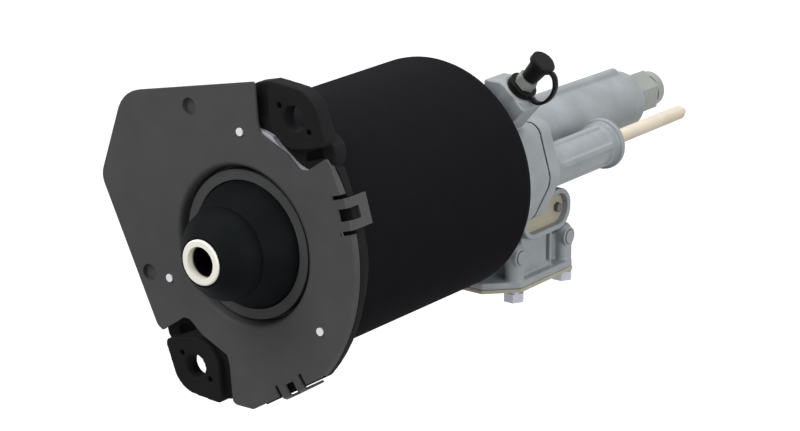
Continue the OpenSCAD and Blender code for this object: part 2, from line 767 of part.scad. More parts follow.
module valve_body() {
    translate([0, valve_y, valve_top]) cylinder(r = valve_r - 3, h = -valve_top - tube_r - 3);
    translate([0, valve_y, valve_top - 0.5]) cylinder(r1 = valve_r, r2 = valve_r - 3, h = 3.5);
    // flat panel on the right, with a ridge at its rear edge
    translate([8, valve_y - 19, valve_top - 0.5]) cube([valve_r - 8, 26, window_z - valve_top]);
    translate([8, valve_y + 8.2, valve_top - 0.5]) cube([valve_r - 6.6, 2, window_z - valve_top]);
    translate([8, valve_y - 19, valve_top - 0.5]) cube([valve_r - 8, 31, 3]);
    translate([-16, flange_back - 1, -40]) cube([32, valve_back + 20, 30]);
    translate([0, valve_y, valve_under]) linear_extrude(height = valve_flange_t) valve_outline();
    valve_bolt_places() {
        translate([0, 0, valve_top - 1]) cylinder(r = 5.4, h = plug_z - valve_top + 4);
        translate([0, 0, plug_z + 3]) sphere(r = 5.4);
    }
    for (sx = [-1, 1], sy = [-1, 1]) {
        bar_x(plug_r, sx > 0 ? 20 : -plug_face, sx > 0 ? plug_face : -20, valve_y + sy * valve_bolt_dy, plug_z);
        translate([0, valve_y, valve_top - 1]) rotate([0, 0, atan2(sy * valve_bolt_dy, sx * valve_bolt_x)])
            translate([valve_r - 8, -3.2, 0]) cube([14, 6.4, plug_z - valve_top + 3]);
    }
    on_side(18, valve_half_w) window_outline(window_r);
    bar_x(supply_r + 5, -supply_face, -18, valve_y, supply_z);
}

// All bores of the relay valve, which share one vertical axis
module valve_bores() {
    translate([0, valve_y, 0]) {
        translate([0, 0, control_top - 2]) cylinder(r = 1.6, h = -control_top - chamber_r + 3);
        translate([0, 0, delivery_top - eps]) cylinder(r = control_r, h = control_top - delivery_top + 2 * eps);
        translate([0, 0, seat_z + seat_t]) cylinder(r = delivery_r, h = delivery_top - seat_z - seat_t);
        translate([0, 0, seat_z - eps]) cylinder(r = seat_hole_r, h = seat_t + 2 * eps);
        translate([0, 0, valve_under - eps]) cylinder(r = supply_chamber_r, h = seat_z - valve_under + eps);
    }
    bar_y(passage_r, flange_front - eps, valve_y, 0, passage_z);
    bar_x(supply_r, -supply_face - eps, -supply_face + supply_len, valve_y, supply_z);
    bar_x(supply_r - 3, -supply_face, -supply_chamber_r + 2, valve_y, supply_z);
    valve_bolt_places() translate([0, 0, valve_under - eps])
        cylinder(r = valve_bolt_r + slip_gap, h = plug_z - valve_under - 6);
    for (sx = [-1, 1], sy = [-1, 1])
        bar_x(plug_r - 1.6, sx > 0 ? plug_face - 4 : -plug_face - 1, sx > 0 ? plug_face + 1 : -plug_face + 4,
              valve_y + sy * valve_bolt_dy, plug_z);
}

module hydraulic_housing() {
    color([0.6, 0.63, 0.64])
    difference() {
        union() {
            slab(flange_front, flange_back) casting_outline();
            tube_profile();
            tube_rib();
            indicator_tube();
            valve_body();
        }
        slab(drum_rear, flange_front) casting_outline(1);
        bar_y(chamber_r, flange_front - eps, tube_back - port_len);
        bar_y(port_r, tube_back - port_len - eps, tube_back + eps);
        bar_y(ind_bore_r, flange_front + 4, ind_back - 6, ind_x, ind_z);
        bar_y(ind_rod_r + 1, flange_front - eps, ind_back + eps, ind_x, ind_z);
        bar_y(ind_bore_r + 1.5, ind_back - 6, ind_back + eps, ind_x, ind_z);
        bolt_bores(flange_front - eps, bolt_end);
        valve_bores();
        on_side(valve_half_w - window_depth, valve_half_w + 3) window_outline(window_in_r);
    }
}

module head_bolts() {
    color([0.72, 0.73, 0.76])
    bolt_places() {
        bar_y(bolt_r, rear_wall - bolt_washer_t - 1, bolt_end - 1);
        hex_y(bolt_af, rear_wall - bolt_washer_t - bolt_head_t, rear_wall - bolt_washer_t);
    }
}

module bolt_washers() {
    color([0.6, 0.6, 0.62])
    bolt_places() ring_y(bolt_af / sqrt(3) + 0.3, bolt_r + slip_gap, rear_wall - bolt_washer_t, rear_wall);
}

module inlet_fitting() {
    color([0.56, 0.58, 0.54])
    difference() {
        union() {
            bar_y(port_r - 0.05, tube_back - port_len + 2, hex_front + eps);
            hex_y(fitting_af, hex_front, hex_back, 0, 0, -25);
            bar_y(7.8, hex_back - eps, collar_back - 1);
            turned([[7, hex_back + 3], [11, hex_back + 3], [11, collar_back - 1.2],
                    [9.8, collar_back], [7, collar_back]]);
        }
        bar_y(inlet_r, collar_back - inlet_len, collar_back + eps);
        bar_y(2.5, tube_back - port_len, collar_back);
    }
}

module inlet_washer() {
    color([0.72, 0.45, 0.25])
    ring_y(12, port_r + 0.1, tube_back + 0.02, hex_front - 0.02);
}

module indicator_seal() {
    color([0.1, 0.1, 0.1])
    ring_y(ind_bore_r + 1.45, ind_rod_r + run_gap, ind_back - 5.9, ind_back - 0.6, ind_x, ind_z);
}

// RELAY VALVE PARTS THAT STAY PUT

module valve_gasket() {
    color([0.62, 0.58, 0.45])
    translate([0, valve_y, valve_cover_top]) linear_extrude(height = valve_gasket_t) difference() {
        valve_outline(0.2);
        circle(r = supply_chamber_r + 1);
        for (sx = [-1, 1], sy = [-1, 1])
            translate([sx * valve_bolt_x, sy * valve_bolt_dy]) circle(r = valve_bolt_r + 0.4);
    }
}

module valve_cover() {
    color([0.71, 0.68, 0.57])
    translate([0, valve_y, valve_cover_under]) linear_extrude(height = valve_cover_t) difference() {
        valve_outline(0.3);
        circle(r = exhaust_r);
        for (sx = [-1, 1], sy = [-1, 1])
            translate([sx * valve_bolt_x, sy * valve_bolt_dy]) circle(r = valve_bolt_r + 0.2);
    }
}

module valve_bolts() {
    color([0.72, 0.73, 0.77])
    valve_bolt_places() {
        translate([0, 0, valve_cover_under - 1.02]) cylinder(r = valve_bolt_r + 2, h = 1);
        translate([0, 0, valve_cover_under - 6.4]) cylinder(r = valve_bolt_af / sqrt(3), h = 5.4, $fn = 6);
        translate([0, 0, valve_cover_under - 1]) cylinder(r = valve_bolt_r, h = plug_z - valve_cover_under - 6);
    }
}

module channel_plugs() {
    color([0.56, 0.58, 0.6])
    for (sx = [-1, 1], sy = [-1, 1])
        bar_x(plug_r - 1.6 - slip_gap, sx > 0 ? plug_face - 3.9 : -plug_face - 0.5,
              sx > 0 ? plug_face + 0.5 : -plug_face + 3.9, valve_y + sy * valve_bolt_dy, plug_z);
}

module window_cover() {
    color([0.6, 0.58, 0.52])
    difference() {
        on_side(valve_half_w - window_depth + 0.02, valve_half_w - window_depth + 2)
            window_outline(window_in_r - 0.1);
        bar_x(2.2, valve_half_w - window_depth - 1, valve_half_w, valve_y + screw_dy, window_z);
    }
}

module window_screw() {
    color([0.3, 0.3, 0.3])
    translate([valve_half_w - window_depth + 0.1, valve_y + screw_dy, window_z]) rotate([0, 90, 0]) {
        cylinder(r = 2.1, h = 2.2);
        translate([0, 0, 2]) cylinder(r = 3, h = 2.6, $fn = 6);
    }
}

module valve_guide() {
    color([0.72, 0.6, 0.32])
    translate([0, valve_y, 0]) difference() {
        translate([0, 0, valve_cover_top + 0.6])
            cylinder(r = supply_chamber_r - 0.05, h = guide_top - valve_cover_top - 0.6);
        translate([0, 0, valve_cover_top]) cylinder(r = valve_stem_r + run_gap, h = 20);
        translate([0, 0, valve_cover_top]) cylinder(r = exhaust_r, h = 4);
    }
}

module exhaust_filter() {
    color([0.09, 0.09, 0.09])
    translate([0, valve_y, valve_cover_under + 0.1]) cylinder(r = exhaust_r - 0.15, h = 1.8);
}

// BLEEDER

module bleeder_ring() {
    color([0.09, 0.09, 0.09])
    bleeder_frame() translate([0, 0, 0.05]) difference() {
        union() {
            cylinder(r = bleed_base_r, h = bleed_ring_t * 0.4);
            cylinder(r = bleed_base_r - 1.3, h = bleed_ring_t);
            translate([0, 0, bleed_ring_t * 0.6]) cylinder(r = bleed_base_r, h = bleed_ring_t * 0.4);
        }
        translate([0, 0, -eps]) cylinder(r = bleed_thread_r + 0.8, h = bleed_ring_t + 1);
    }
}

// The strap that ties the cap to the ring: an extruded outline with a quad between each pair of points
module bleeder_strap() {
    color([0.09, 0.09, 0.09])
    bleeder_frame() translate([0, strap_w / 2, 0]) rotate([90, 0, 0]) linear_extrude(height = strap_w)
        for (i = [0 : len(strap_path) - 2]) strap_piece(strap_path[i], strap_path[i + 1]);
}

module strap_piece(a, b) {
    d = (b - a) / norm(b - a);
    n = strap_t / 2 * [-d[1], d[0]];
    e = 0.35 * d;
    polygon([a + n - e, a - n - e, b - n + e, b + n + e]);
}

module bleeder_screw() {
    color([0.54, 0.56, 0.56])
    bleeder_frame() difference() {
        union() {
            translate([0, 0, -15]) cylinder(r = bleed_thread_r - run_gap, h = 15 + bleed_ring_t + 0.4);
            translate([0, 0, -18]) cylinder(r1 = 1, r2 = bleed_thread_r - 1, h = 3.1);
            translate([0, 0, bleed_ring_t + 0.3]) cylinder(r = bleed_hex_af / sqrt(3), h = bleed_hex_t, $fn = 6);
            translate([0, 0, bleed_ring_t + bleed_hex_t])
                cylinder(r = nipple_r, h = nipple_end - bleed_ring_t - bleed_hex_t - 1);
            translate([0, 0, nipple_end - 4]) cylinder(r1 = nipple_r + 0.5, r2 = nipple_r - 0.6, h = 4);
        }
        translate([0, 0, -12]) cylinder(r = 1.2, h = 60);
    }
}

module bleeder_cap() {
    color([0.11, 0.11, 0.11])
    bleeder_frame() translate([0, 0, cap_front]) difference() {
        union() {
            cylinder(r1 = cap_neck_r, r2 = cap_neck_r + 1, h = cap_len - cap_head_t + 0.1);
            translate([0, 0, cap_len - cap_head_t]) cylinder(r = cap_head_r, h = cap_head_t - 0.8);
            translate([0, 0, cap_len - 0.81]) cylinder(r1 = cap_head_r, r2 = cap_head_r - 0.8, h = 0.8);
        }
        translate([0, 0, -eps]) cylinder(r = nipple_r + 0.5 + slip_gap, h = nipple_end - cap_front + 0.4 + eps);
    }
}

// AIR PISTON AND WHAT MOVES WITH IT

module air_piston() {
    lip_front = piston_front + 2;
    guide_front = piston_back - 2 - guide_t;
    color([0.68, 0.7, 0.71])
    difference() {
        union() {
            turned([[plunger_nose_r + slip_gap, piston_front], [hub_r, piston_front], [hub_r + 2, web_front],
                    [piston_r - 8, web_front], [piston_r - 6, piston_front], [piston_r, piston_front],
                    [piston_r, piston_back], [piston_r - 6, piston_back],
                    [piston_r - 8, web_front + web_t], [hub_r, web_front + web_t], [hub_r, hub_back - 3],
                    [hub_r + 2, hub_back - 3], [hub_r + 2, hub_back], [plunger_nose_r + slip_gap, hub_back]]);
            bar_y(ind_head_r + 2, web_front, piston_back - 5, ind_x, ind_z);
            for (a = [45 : 90 : 315])
                rotate([0, a, 0]) translate([hub_r - 4, web_front + web_t - 1, -2])
                    cube([piston_r - hub_r - 3, 5, 4]);
        }
        ring_y(drum_r, piston_r - 4, lip_front, lip_front + lip_t);
        ring_y(drum_r, piston_r - 2.5, guide_front, guide_front + guide_t);
        bar_y(ind_rod_r + 0.05, piston_front - eps, piston_back + eps, ind_x, ind_z);
        bar_y(ball_r + 5, piston_front - eps, piston_front + 5.5);
    }
}

module piston_lip_seal() {
    y0 = piston_front + 2;
    color([0.1, 0.1, 0.1])
    turned([[piston_r - 3.95, y0 + 0.05], [drum_in_r - 0.8, y0 + 0.05], [drum_in_r - run_gap, y0 + 1.2],
            [drum_in_r - run_gap, y0 + 2.2],
            [drum_in_r - 1.6, y0 + lip_t - 0.05], [piston_r - 3.95, y0 + lip_t - 0.05]]);
}

module piston_guide_ring() {
    y0 = piston_back - 2 - guide_t;
    color([0.35, 0.25, 0.2])
    ring_y(drum_in_r - run_gap, piston_r - 2.45, y0 + 0.05, y0 + guide_t - 0.05);
}

module hydraulic_plunger() {
    color([0.78, 0.79, 0.8])
    difference() {
        union() {
            bar_y(plunger_r, hub_back + 0.02, plunger_back - 1);
            turned([[0, plunger_back - 1.01], [plunger_r, plunger_back - 1.01],
                    [plunger_r - 1, plunger_back], [0, plunger_back]]);
            bar_y(plunger_nose_r, piston_front + 6, hub_back + eps);
        }
        bar_y(plunger_r - 5, hub_back + 12, plunger_back + eps);
    }
}

module plunger_nut() {
    color([0.6, 0.6, 0.62])
    ring_y(ball_r + 4.5, plunger_nose_r - 2, piston_front + 3.2, piston_front + 5.4);
}

module rod_socket() {
    color([0.5, 0.52, 0.54])
    rotate([-90, 0, 0]) rotate_extrude() difference() {
        polygon([[0, socket_front], [ball_r + 3.4, socket_front], [ball_r + 4.4, socket_front + 1.5],
                 [ball_r + 4.9, piston_front + 3.1], [0, piston_front + 3.1]]);
        translate([0, ball_y]) circle(r = ball_r + loose_gap);
    }
}

module indicator_rod() {
    tip_len = 5;
    color([0.87, 0.83, 0.75])
    translate([ind_x, 0, ind_z])
    turned([[0, web_front - 2.5], [ind_head_r, web_front - 2.5], [ind_head_r, web_front - 0.02],
            [ind_rod_r, web_front - 0.02], [ind_rod_r, ind_tip - tip_len], [ind_rod_r * 0.55, ind_tip - 1],
            [ind_rod_r * 0.3, ind_tip], [0, ind_tip]]);
}

module indicator_clip() {
    color([0.6, 0.6, 0.62])
    ring_y(ind_head_r + 0.5, ind_rod_r + 0.02, piston_back - 4.98, piston_back - 3.8, ind_x, ind_z);
}

// PUSH ROD

module push_rod() {
    color([0.93, 0.92, 0.85])
    difference() {
        turned([[0, -rod_proud], [rod_r - 0.7, -rod_proud], [rod_r, -rod_proud + 0.7], [rod_r, tube_rod_back - 8],
                [ball_r - 2.4, tube_rod_back], [0, tube_rod_back]]);
        bar_y(rod_bore_r, -rod_proud - eps, -rod_proud + rod_bore_len);
        bar_y(5.05, tube_rod_back - 16, tube_rod_back + eps);
    }
}

module push_rod_ball() {
    color([0.7, 0.71, 0.73])
    union() {
        translate([0, ball_y, 0]) sphere(r = ball_r);
        bar_y(5, tube_rod_back - 15, ball_y);
    }
}

// RELAY VALVE PARTS THAT MOVE

module control_piston() {
    tube_end = seat_z + relay_gap;
    color([0.68, 0.7, 0.71])
    translate([0, valve_y, 0]) difference() {
        union() {
            translate([0, 0, control_top - control_len]) cylinder(r = control_r - run_gap, h = control_len - 0.1);
            translate([0, 0, tube_end]) cylinder(r = seat_tube_r, h = control_top - control_len - tube_end + 1);
        }
        translate([0, 0, tube_end - eps]) cylinder(r = 2.4, h = 18);
    }
}

module control_spring() {
    color([0.55, 0.57, 0.6])
    translate([0, valve_y, seat_z + seat_t + 0.1])
        coil(7.3, 0.6, control_top - control_len - seat_z - seat_t - 0.2, 4, 12, 6);
}

module inlet_valve() {
    color([0.3, 0.3, 0.31])
    translate([0, valve_y, 0]) difference() {
        union() {
            translate([0, 0, seat_z - valve_disc_t - 0.02]) cylinder(r = valve_disc_r, h = valve_disc_t);
            translate([0, 0, guide_top - 4.5]) cylinder(r = valve_stem_r, h = seat_z - guide_top + 2);
        }
        translate([0, 0, guide_top - 6]) cylinder(r = 1.6, h = 20);
    }
}

module inlet_spring() {
    color([0.55, 0.57, 0.6])
    translate([0, valve_y, guide_top + 0.1]) coil(5.6, 0.5, seat_z - valve_disc_t - guide_top - 0.3, 4, 12, 6);
}

front_cover();
cylinder_shell();
cover_seal();
shield_plate();
shield_gasket();
shield_rivets();
boot_bellows();
boot_ring();
return_spring();
cylinder_head();
head_seal();
rod_wiper();
plunger_bush();
plunger_seal();
seal_circlip();
joint_gasket();
hydraulic_housing();
head_bolts();
bolt_washers();
inlet_fitting();
inlet_washer();
indicator_seal();
valve_gasket();
valve_cover();
valve_bolts();
channel_plugs();
window_cover();
window_screw();
valve_guide();
exhaust_filter();
bleeder_ring();
bleeder_strap();
air_piston();
piston_lip_seal();
piston_guide_ring();
hydraulic_plunger();
plunger_nut();
rod_socket();
indicator_rod();
indicator_clip();
push_rod();
push_rod_ball();
boot_nose();
bleeder_screw();
bleeder_cap();
control_piston();
control_spring();
inlet_valve();
inlet_spring();
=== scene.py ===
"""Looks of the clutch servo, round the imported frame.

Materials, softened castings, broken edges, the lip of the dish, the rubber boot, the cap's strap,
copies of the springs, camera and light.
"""
import json
import math

import bmesh
import bpy
from mathutils import Matrix, Vector

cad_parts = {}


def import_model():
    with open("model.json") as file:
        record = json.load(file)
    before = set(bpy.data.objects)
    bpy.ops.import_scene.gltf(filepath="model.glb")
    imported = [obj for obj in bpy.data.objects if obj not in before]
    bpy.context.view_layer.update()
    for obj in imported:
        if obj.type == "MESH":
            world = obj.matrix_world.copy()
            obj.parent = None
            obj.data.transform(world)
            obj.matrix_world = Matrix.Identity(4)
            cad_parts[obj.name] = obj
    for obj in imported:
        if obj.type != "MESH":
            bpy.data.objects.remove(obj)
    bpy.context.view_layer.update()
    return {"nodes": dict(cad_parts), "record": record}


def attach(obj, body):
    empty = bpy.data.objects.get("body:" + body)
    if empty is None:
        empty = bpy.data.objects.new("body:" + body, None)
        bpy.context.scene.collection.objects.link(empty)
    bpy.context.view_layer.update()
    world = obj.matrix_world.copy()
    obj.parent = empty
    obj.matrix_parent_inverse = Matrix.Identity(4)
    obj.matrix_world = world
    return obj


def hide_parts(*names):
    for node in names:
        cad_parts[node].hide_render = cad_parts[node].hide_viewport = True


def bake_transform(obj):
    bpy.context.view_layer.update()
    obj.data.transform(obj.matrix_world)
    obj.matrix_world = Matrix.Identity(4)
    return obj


MM = 0.001
WHITE = (1, 1, 1, 1)

# Camera: place in m, turn to the right of -Y and fall below the horizontal in degrees, lens and sensor in mm
CAMERA_AT = (0.9101, -1.0756, 0.4632)
CAMERA_TURN = 36.9063
CAMERA_FALL = 17.6058
CAMERA_LENS = 127.675
CAMERA_SENSOR = 36.0
CAMERA_REACH = 20

# Lamps: name: (place, what it points at, diameter, power), in m and W
LAMPS = {
    "key": ((-0.8, -1.2, 1.6), (0, 0.1, 0), 1.3, 27),
    "top": ((0.3, 0.5, 2.4), (0, 0.15, 0), 2.0, 30),
    "side": ((2.0, -0.3, 0.4), (0, 0.2, 0), 1.4, 20),
}

# Fill light of the world: strength from below and from above, and the rise of the ray where each is reached
FILL_LOW = 0.24
FILL_TOP = 0.80
RISE_LOW = -0.2
RISE_TOP = 0.9

# Floor: height and half width in m, its grey, and the glow that lifts it where it is seen as backdrop
FLOOR_Z = -0.30
FLOOR_HALF = 6.0
FLOOR_GREY = 0.24
FLOOR_GLOW = 0.86
FLOOR_ROUGHNESS = 0.9

# Materials, slot: (colour, metallic, roughness, specular, grain size in mm, grain depth, colour variation)
LOOKS = {
    "black_casting": ((0.0155, 0.0152, 0.0163), 0.0, 0.62, 0.02, 0.9, 0.16, 0.10),
    "black_shell": ((0.0088, 0.0083, 0.0100), 0.0, 0.60, 0.0, 3.0, 0.02, 0.05),
    "shield_sheet": ((0.0700, 0.0700, 0.0700), 0.0, 0.50, 0.08, 2.0, 0.03, 0.06),
    "shield_gasket": ((0.46, 0.46, 0.50), 0.3, 0.5, 0.4, 1.0, 0.0, 0.0),
    "rivet": ((0.70, 0.71, 0.74), 0.4, 0.35, 0.5, 1.0, 0.0, 0.0),
    "boot_rubber": ((0.0066, 0.0078, 0.0084), 0.0, 0.50, 0.02, 2.5, 0.03, 0.12),
    "cap_rubber": ((0.0080, 0.0080, 0.0083), 0.0, 0.42, 0.07, 1.5, 0.03, 0.10),
    "seal_rubber": ((0.010, 0.010, 0.010), 0.0, 0.5, 0.3, 1.0, 0.0, 0.0),
    "cast_aluminium": ((0.268, 0.290, 0.303), 0.15, 0.48, 0.28, 0.55, 0.22, 0.10),
    "piston_aluminium": ((0.46, 0.48, 0.50), 0.8, 0.35, 0.5, 0.8, 0.05, 0.05),
    "bronze": ((0.50, 0.34, 0.12), 0.9, 0.3, 0.5, 1.0, 0.0, 0.0),
    "spring_steel": ((0.28, 0.30, 0.33), 0.8, 0.35, 0.5, 1.0, 0.0, 0.0),
    "zinc_steel": ((0.42, 0.43, 0.49), 0.35, 0.34, 0.5, 1.2, 0.02, 0.05),
    "ground_steel": ((0.55, 0.56, 0.57), 0.9, 0.25, 0.5, 1.0, 0.0, 0.0),
    "gasket_fibre": ((0.030, 0.032, 0.034), 0.0, 0.7, 0.3, 0.6, 0.1, 0.1),
    "cover_fibre": ((0.46, 0.42, 0.30), 0.0, 0.7, 0.3, 0.6, 0.05, 0.08),
    "cover_sheet": ((0.36, 0.335, 0.255), 0.05, 0.55, 0.3, 1.2, 0.03, 0.08),
    "screw_black": ((0.085, 0.090, 0.085), 0.2, 0.4, 0.5, 1.0, 0.0, 0.0),
    "fitting_steel": ((0.275, 0.290, 0.268), 0.25, 0.40, 0.4, 0.9, 0.03, 0.06),
    "copper": ((0.48, 0.20, 0.09), 0.9, 0.3, 0.5, 1.0, 0.0, 0.0),
    "indicator_plastic": ((0.60, 0.535, 0.425), 0.0, 0.55, 0.35, 4.0, 0.03, 0.06),
    "rod_steel": ((0.95, 0.935, 0.82), 0.0, 0.35, 0.5, 1.5, 0.02, 0.04),
    "guide_plastic": ((0.10, 0.06, 0.04), 0.0, 0.5, 0.3, 1.0, 0.0, 0.0),
    "valve_rubber": ((0.03, 0.03, 0.03), 0.0, 0.5, 0.3, 1.0, 0.0, 0.0),
    "filter_felt": ((0.03, 0.03, 0.03), 0.0, 0.9, 0.2, 0.5, 0.2, 0.1),
}

# Faint bloom of satin paint and moulded rubber under the lamps: slot: (weight, roughness)
SATIN = {"black_shell": (0.035, 0.40), "cap_rubber": (0.05, 0.35)}

# Drift of a colour: spots per metre and their detail, and the noise's span that covers the variation
DRIFT_SCALE = 60
DRIFT_DETAIL = 4
DRIFT_LOW = 0.3
DRIFT_HIGH = 0.7

# Grain of a surface: detail of its noise, and its height as a share of its size
GRAIN_DETAIL = 2
GRAIN_RISE = 0.5

# Push rod bore, in mm: painted shade, dark inside this radius and behind this station, with a soft change
# either side of it
ROD_BORE = 8.9
ROD_BORE_Y = -30.4
ROD_BORE_FADE = 0.8
ROD_BORE_PAINTED_SHADE = (0.006, 0.004, 0.003, 1)

# Sockets of the mix node that carry colours: its two inputs and its output
MIX_FIRST = 6
MIX_SECOND = 7
MIX_RESULT = 2

# Corners of a mesh nearer than this, in m, are one
WELD = 1e-6

# Castings: node: (grid in mm on which the skin is rebuilt, rounds of smoothing, triangles kept)
CASTINGS = {
    "hydraulic_housing": (0.6, 6, 150000),
    "cylinder_head": (0.6, 6, 70000),
    "front_cover": (0.6, 4, 90000),
}
CAST_SMOOTHING = 0.5

# Broken edges: width in mm on the plate and on small pieces, least turn in degrees, and facets across
PLATE_EDGE = 0.35
SMALL_EDGE = 0.3
EDGE_ANGLE = 40
EDGE_SEGMENTS = 2
SMALL_PIECES = ("valve_bolts", "inlet_fitting", "bleeder_screw", "window_screw", "shield_rivets",
                "bleeder_cap", "bleeder_ring")

# Lip of the plate's dish: radius of its edge and reach of its bend to either side, in mm, facets across, and
# the bevel profile that makes it round
LIP_EDGE = 43.5
LIP_BEND = 2.2
LIP_SEGMENTS = 5
LIP_ROUND = 0.5

# A corner belongs to the lip's edge within these distances of its radius and of the plate's face, in mm.
# Two faces count as one below this turn, in degrees
LIP_NEAR = 0.1
FACE_NEAR = 0.05
FLAT_ANGLE = 0.5

# Boot outline, (radius, y) in mm, from its clamp to its nose; the two lobes meet at the seam
BOOT_SEAM = -13.6
BOOT_LARGE = [(34.9, 9.3), (34.9, 7.6), (34.7, 5.6), (34.1, 3.0), (33.0, 0.2), (31.5, -2.8),
              (29.6, -6.0), (27.4, -9.2), (25.4, -12.2), (24.4, BOOT_SEAM)]
BOOT_NOSE = [(24.3, BOOT_SEAM), (24.6, -14.3), (25.0, -15.6), (25.0, -17.1), (24.0, -20.7),
             (21.5, -24.9), (18.0, -28.7), (15.0, -31.6), (13.7, -33.3), (12.8, -33.8), (12.34, -33.3)]

# Boot: wall in mm, share of it by which the inner curve lies further back, least inner radius, step along the
# outline in mm, and sides round the axis
BOOT_WALL = 1.7
BOOT_WALL_BACK = 0.4
BOOT_INNER_LEAST = 12.34
BOOT_STEP = 1.0
BOOT_ROUND = 96

# Bleeder: direction from the horizontal in degrees, seat distance from the axis, and station, in mm
BLEED_ANGLE = 49.0
BLEED_SEAT = 69.0
BLEED_Y = 187.4

# Strap of the dust cap: (across, out) from the bleeder's axis and seat, then width, thickness and step, in mm
STRAP_PATH = [(8.93, 2.2), (11.0, 2.0), (13.5, 3.4), (15.6, 6.4), (16.6, 10.5), (16.4, 14.8),
              (14.8, 18.8), (12.0, 21.8), (9.6, 22.9), (7.6, 22.9)]
STRAP_W = 3.8
STRAP_T = 1.8
STRAP_STEP = 0.7

# Section of the strap, as shares of its width and thickness: a rectangle with its corners cut
STRAP_SECTION = [(-0.5, -0.28), (-0.42, -0.5), (0.42, -0.5), (0.5, -0.28),
                 (0.5, 0.28), (0.42, 0.5), (-0.42, 0.5), (-0.5, 0.28)]

# Springs: node: (body that the high end pushes, which the coil does not follow; axis of the coil)
SPRINGS = {
    "return_spring": ("piston", 1),
    "control_spring": ("control_piston", 2),
    "inlet_spring": ("inlet_valve", 2),
}


def place(obj):
    """Puts a new object into the scene."""
    bpy.context.scene.collection.objects.link(obj)


def camera():
    turn, fall = math.radians(CAMERA_TURN), math.radians(CAMERA_FALL)
    right = Vector((math.cos(turn), math.sin(turn), 0))
    up = Vector((-math.sin(turn) * math.sin(fall), math.cos(turn) * math.sin(fall), math.cos(fall)))
    back = right.cross(up)
    data = bpy.data.cameras.new("camera")
    data.lens = CAMERA_LENS
    data.sensor_width = CAMERA_SENSOR
    data.sensor_fit = "HORIZONTAL"
    data.clip_end = CAMERA_REACH
    obj = bpy.data.objects.new("camera", data)
    matrix = Matrix((right, up, back)).transposed().to_4x4()
    matrix.translation = Vector(CAMERA_AT)
    obj.matrix_world = matrix
    place(obj)
    bpy.context.scene.camera = obj


def lamp(name, at, aim, size, power):
    """A round area light."""
    data = bpy.data.lights.new(name, "AREA")
    data.shape = "DISK"
    data.size = size
    data.energy = power
    obj = bpy.data.objects.new(name, data)
    obj.location = at
    obj.rotation_euler = (Vector(aim) - Vector(at)).to_track_quat("-Z", "Y").to_euler()
    place(obj)


def add_node(tree, kind, values=None, **settings):
    """A new shader node with these settings, and with these values on its inputs."""
    new = tree.nodes.new("ShaderNode" + kind)
    for name, value in settings.items():
        setattr(new, name, value)
    for name, value in (values or {}).items():
        new.inputs[name].default_value = value
    return new


def new_material(name):
    """A material with the plain shader."""
    material = bpy.data.materials.new(name)
    material.use_nodes = True
    return material


def shader_of(material):
    return material.node_tree.nodes["Principled BSDF"]


def set_shader(material, values):
    """Sets the shader's own sockets."""
    for name, value in values.items():
        shader_of(material).inputs[name].default_value = value


def background_rays(tree):
    """1 for rays that see the backdrop: the camera's, and those with which gloss and glass show it."""
    link = tree.links.new
    path = add_node(tree, "LightPath")
    first = add_node(tree, "Math", operation="MAXIMUM")
    second = add_node(tree, "Math", operation="MAXIMUM")
    link(path.outputs["Is Camera Ray"], first.inputs[0])
    link(path.outputs["Is Glossy Ray"], first.inputs[1])
    link(first.outputs[0], second.inputs[0])
    link(path.outputs["Is Transmission Ray"], second.inputs[1])
    return second.outputs[0]


def world():
    """White where the backdrop is seen; for all other rays a soft fill that grows with height."""
    scene = bpy.context.scene
    scene.world = bpy.data.worlds.new("studio")
    scene.world.use_nodes = True
    tree = scene.world.node_tree
    tree.nodes.clear()
    link = tree.links.new
    out = add_node(tree, "OutputWorld")
    mix = add_node(tree, "MixShader")
    seen = add_node(tree, "Background", {"Color": WHITE, "Strength": 1.0})
    fill = add_node(tree, "Background", {"Color": WHITE})
    direction = add_node(tree, "TexCoord")
    split = add_node(tree, "SeparateXYZ")
    rise = add_node(tree, "MapRange", {"From Min": RISE_LOW, "From Max": RISE_TOP,
                                       "To Min": FILL_LOW, "To Max": FILL_TOP})
    link(direction.outputs["Generated"], split.inputs[0])
    link(split.outputs["Z"], rise.inputs["Value"])
    link(rise.outputs[0], fill.inputs["Strength"])
    link(background_rays(tree), mix.inputs["Fac"])
    link(fill.outputs[0], mix.inputs[1])
    link(seen.outputs[0], mix.inputs[2])
    link(mix.outputs[0], out.inputs["Surface"])


def floor():
    mesh = bpy.data.meshes.new("floor")
    corners = [(-1, -1), (1, -1), (1, 1), (-1, 1)]
    mesh.from_pydata([(x * FLOOR_HALF, y * FLOOR_HALF, FLOOR_Z) for x, y in corners], [], [(0, 1, 2, 3)])
    obj = bpy.data.objects.new("floor", mesh)
    place(obj)
    material = new_material("floor")
    set_shader(material, {
        "Base Color": (FLOOR_GREY, FLOOR_GREY, FLOOR_GREY, 1),
        "Roughness": FLOOR_ROUGHNESS,
        "Specular IOR Level": 0.0,
        "Emission Color": (FLOOR_GLOW, FLOOR_GLOW, FLOOR_GLOW, 1),
    })
    tree = material.node_tree
    tree.links.new(background_rays(tree), shader_of(material).inputs["Emission Strength"])
    mesh.materials.append(material)


def look(name, colour, metallic, roughness, specular, grain, depth, variation):
    """A surface with a fine grain in its height and a soft drift in its colour."""
    material = new_material(name)
    set_shader(material, {"Base Color": (*colour, 1), "Metallic": metallic, "Roughness": roughness,
                          "Specular IOR Level": specular})
    if variation:
        drift_colour(material, colour, variation)
    if depth:
        grain_surface(material, grain * MM, depth)
    return material


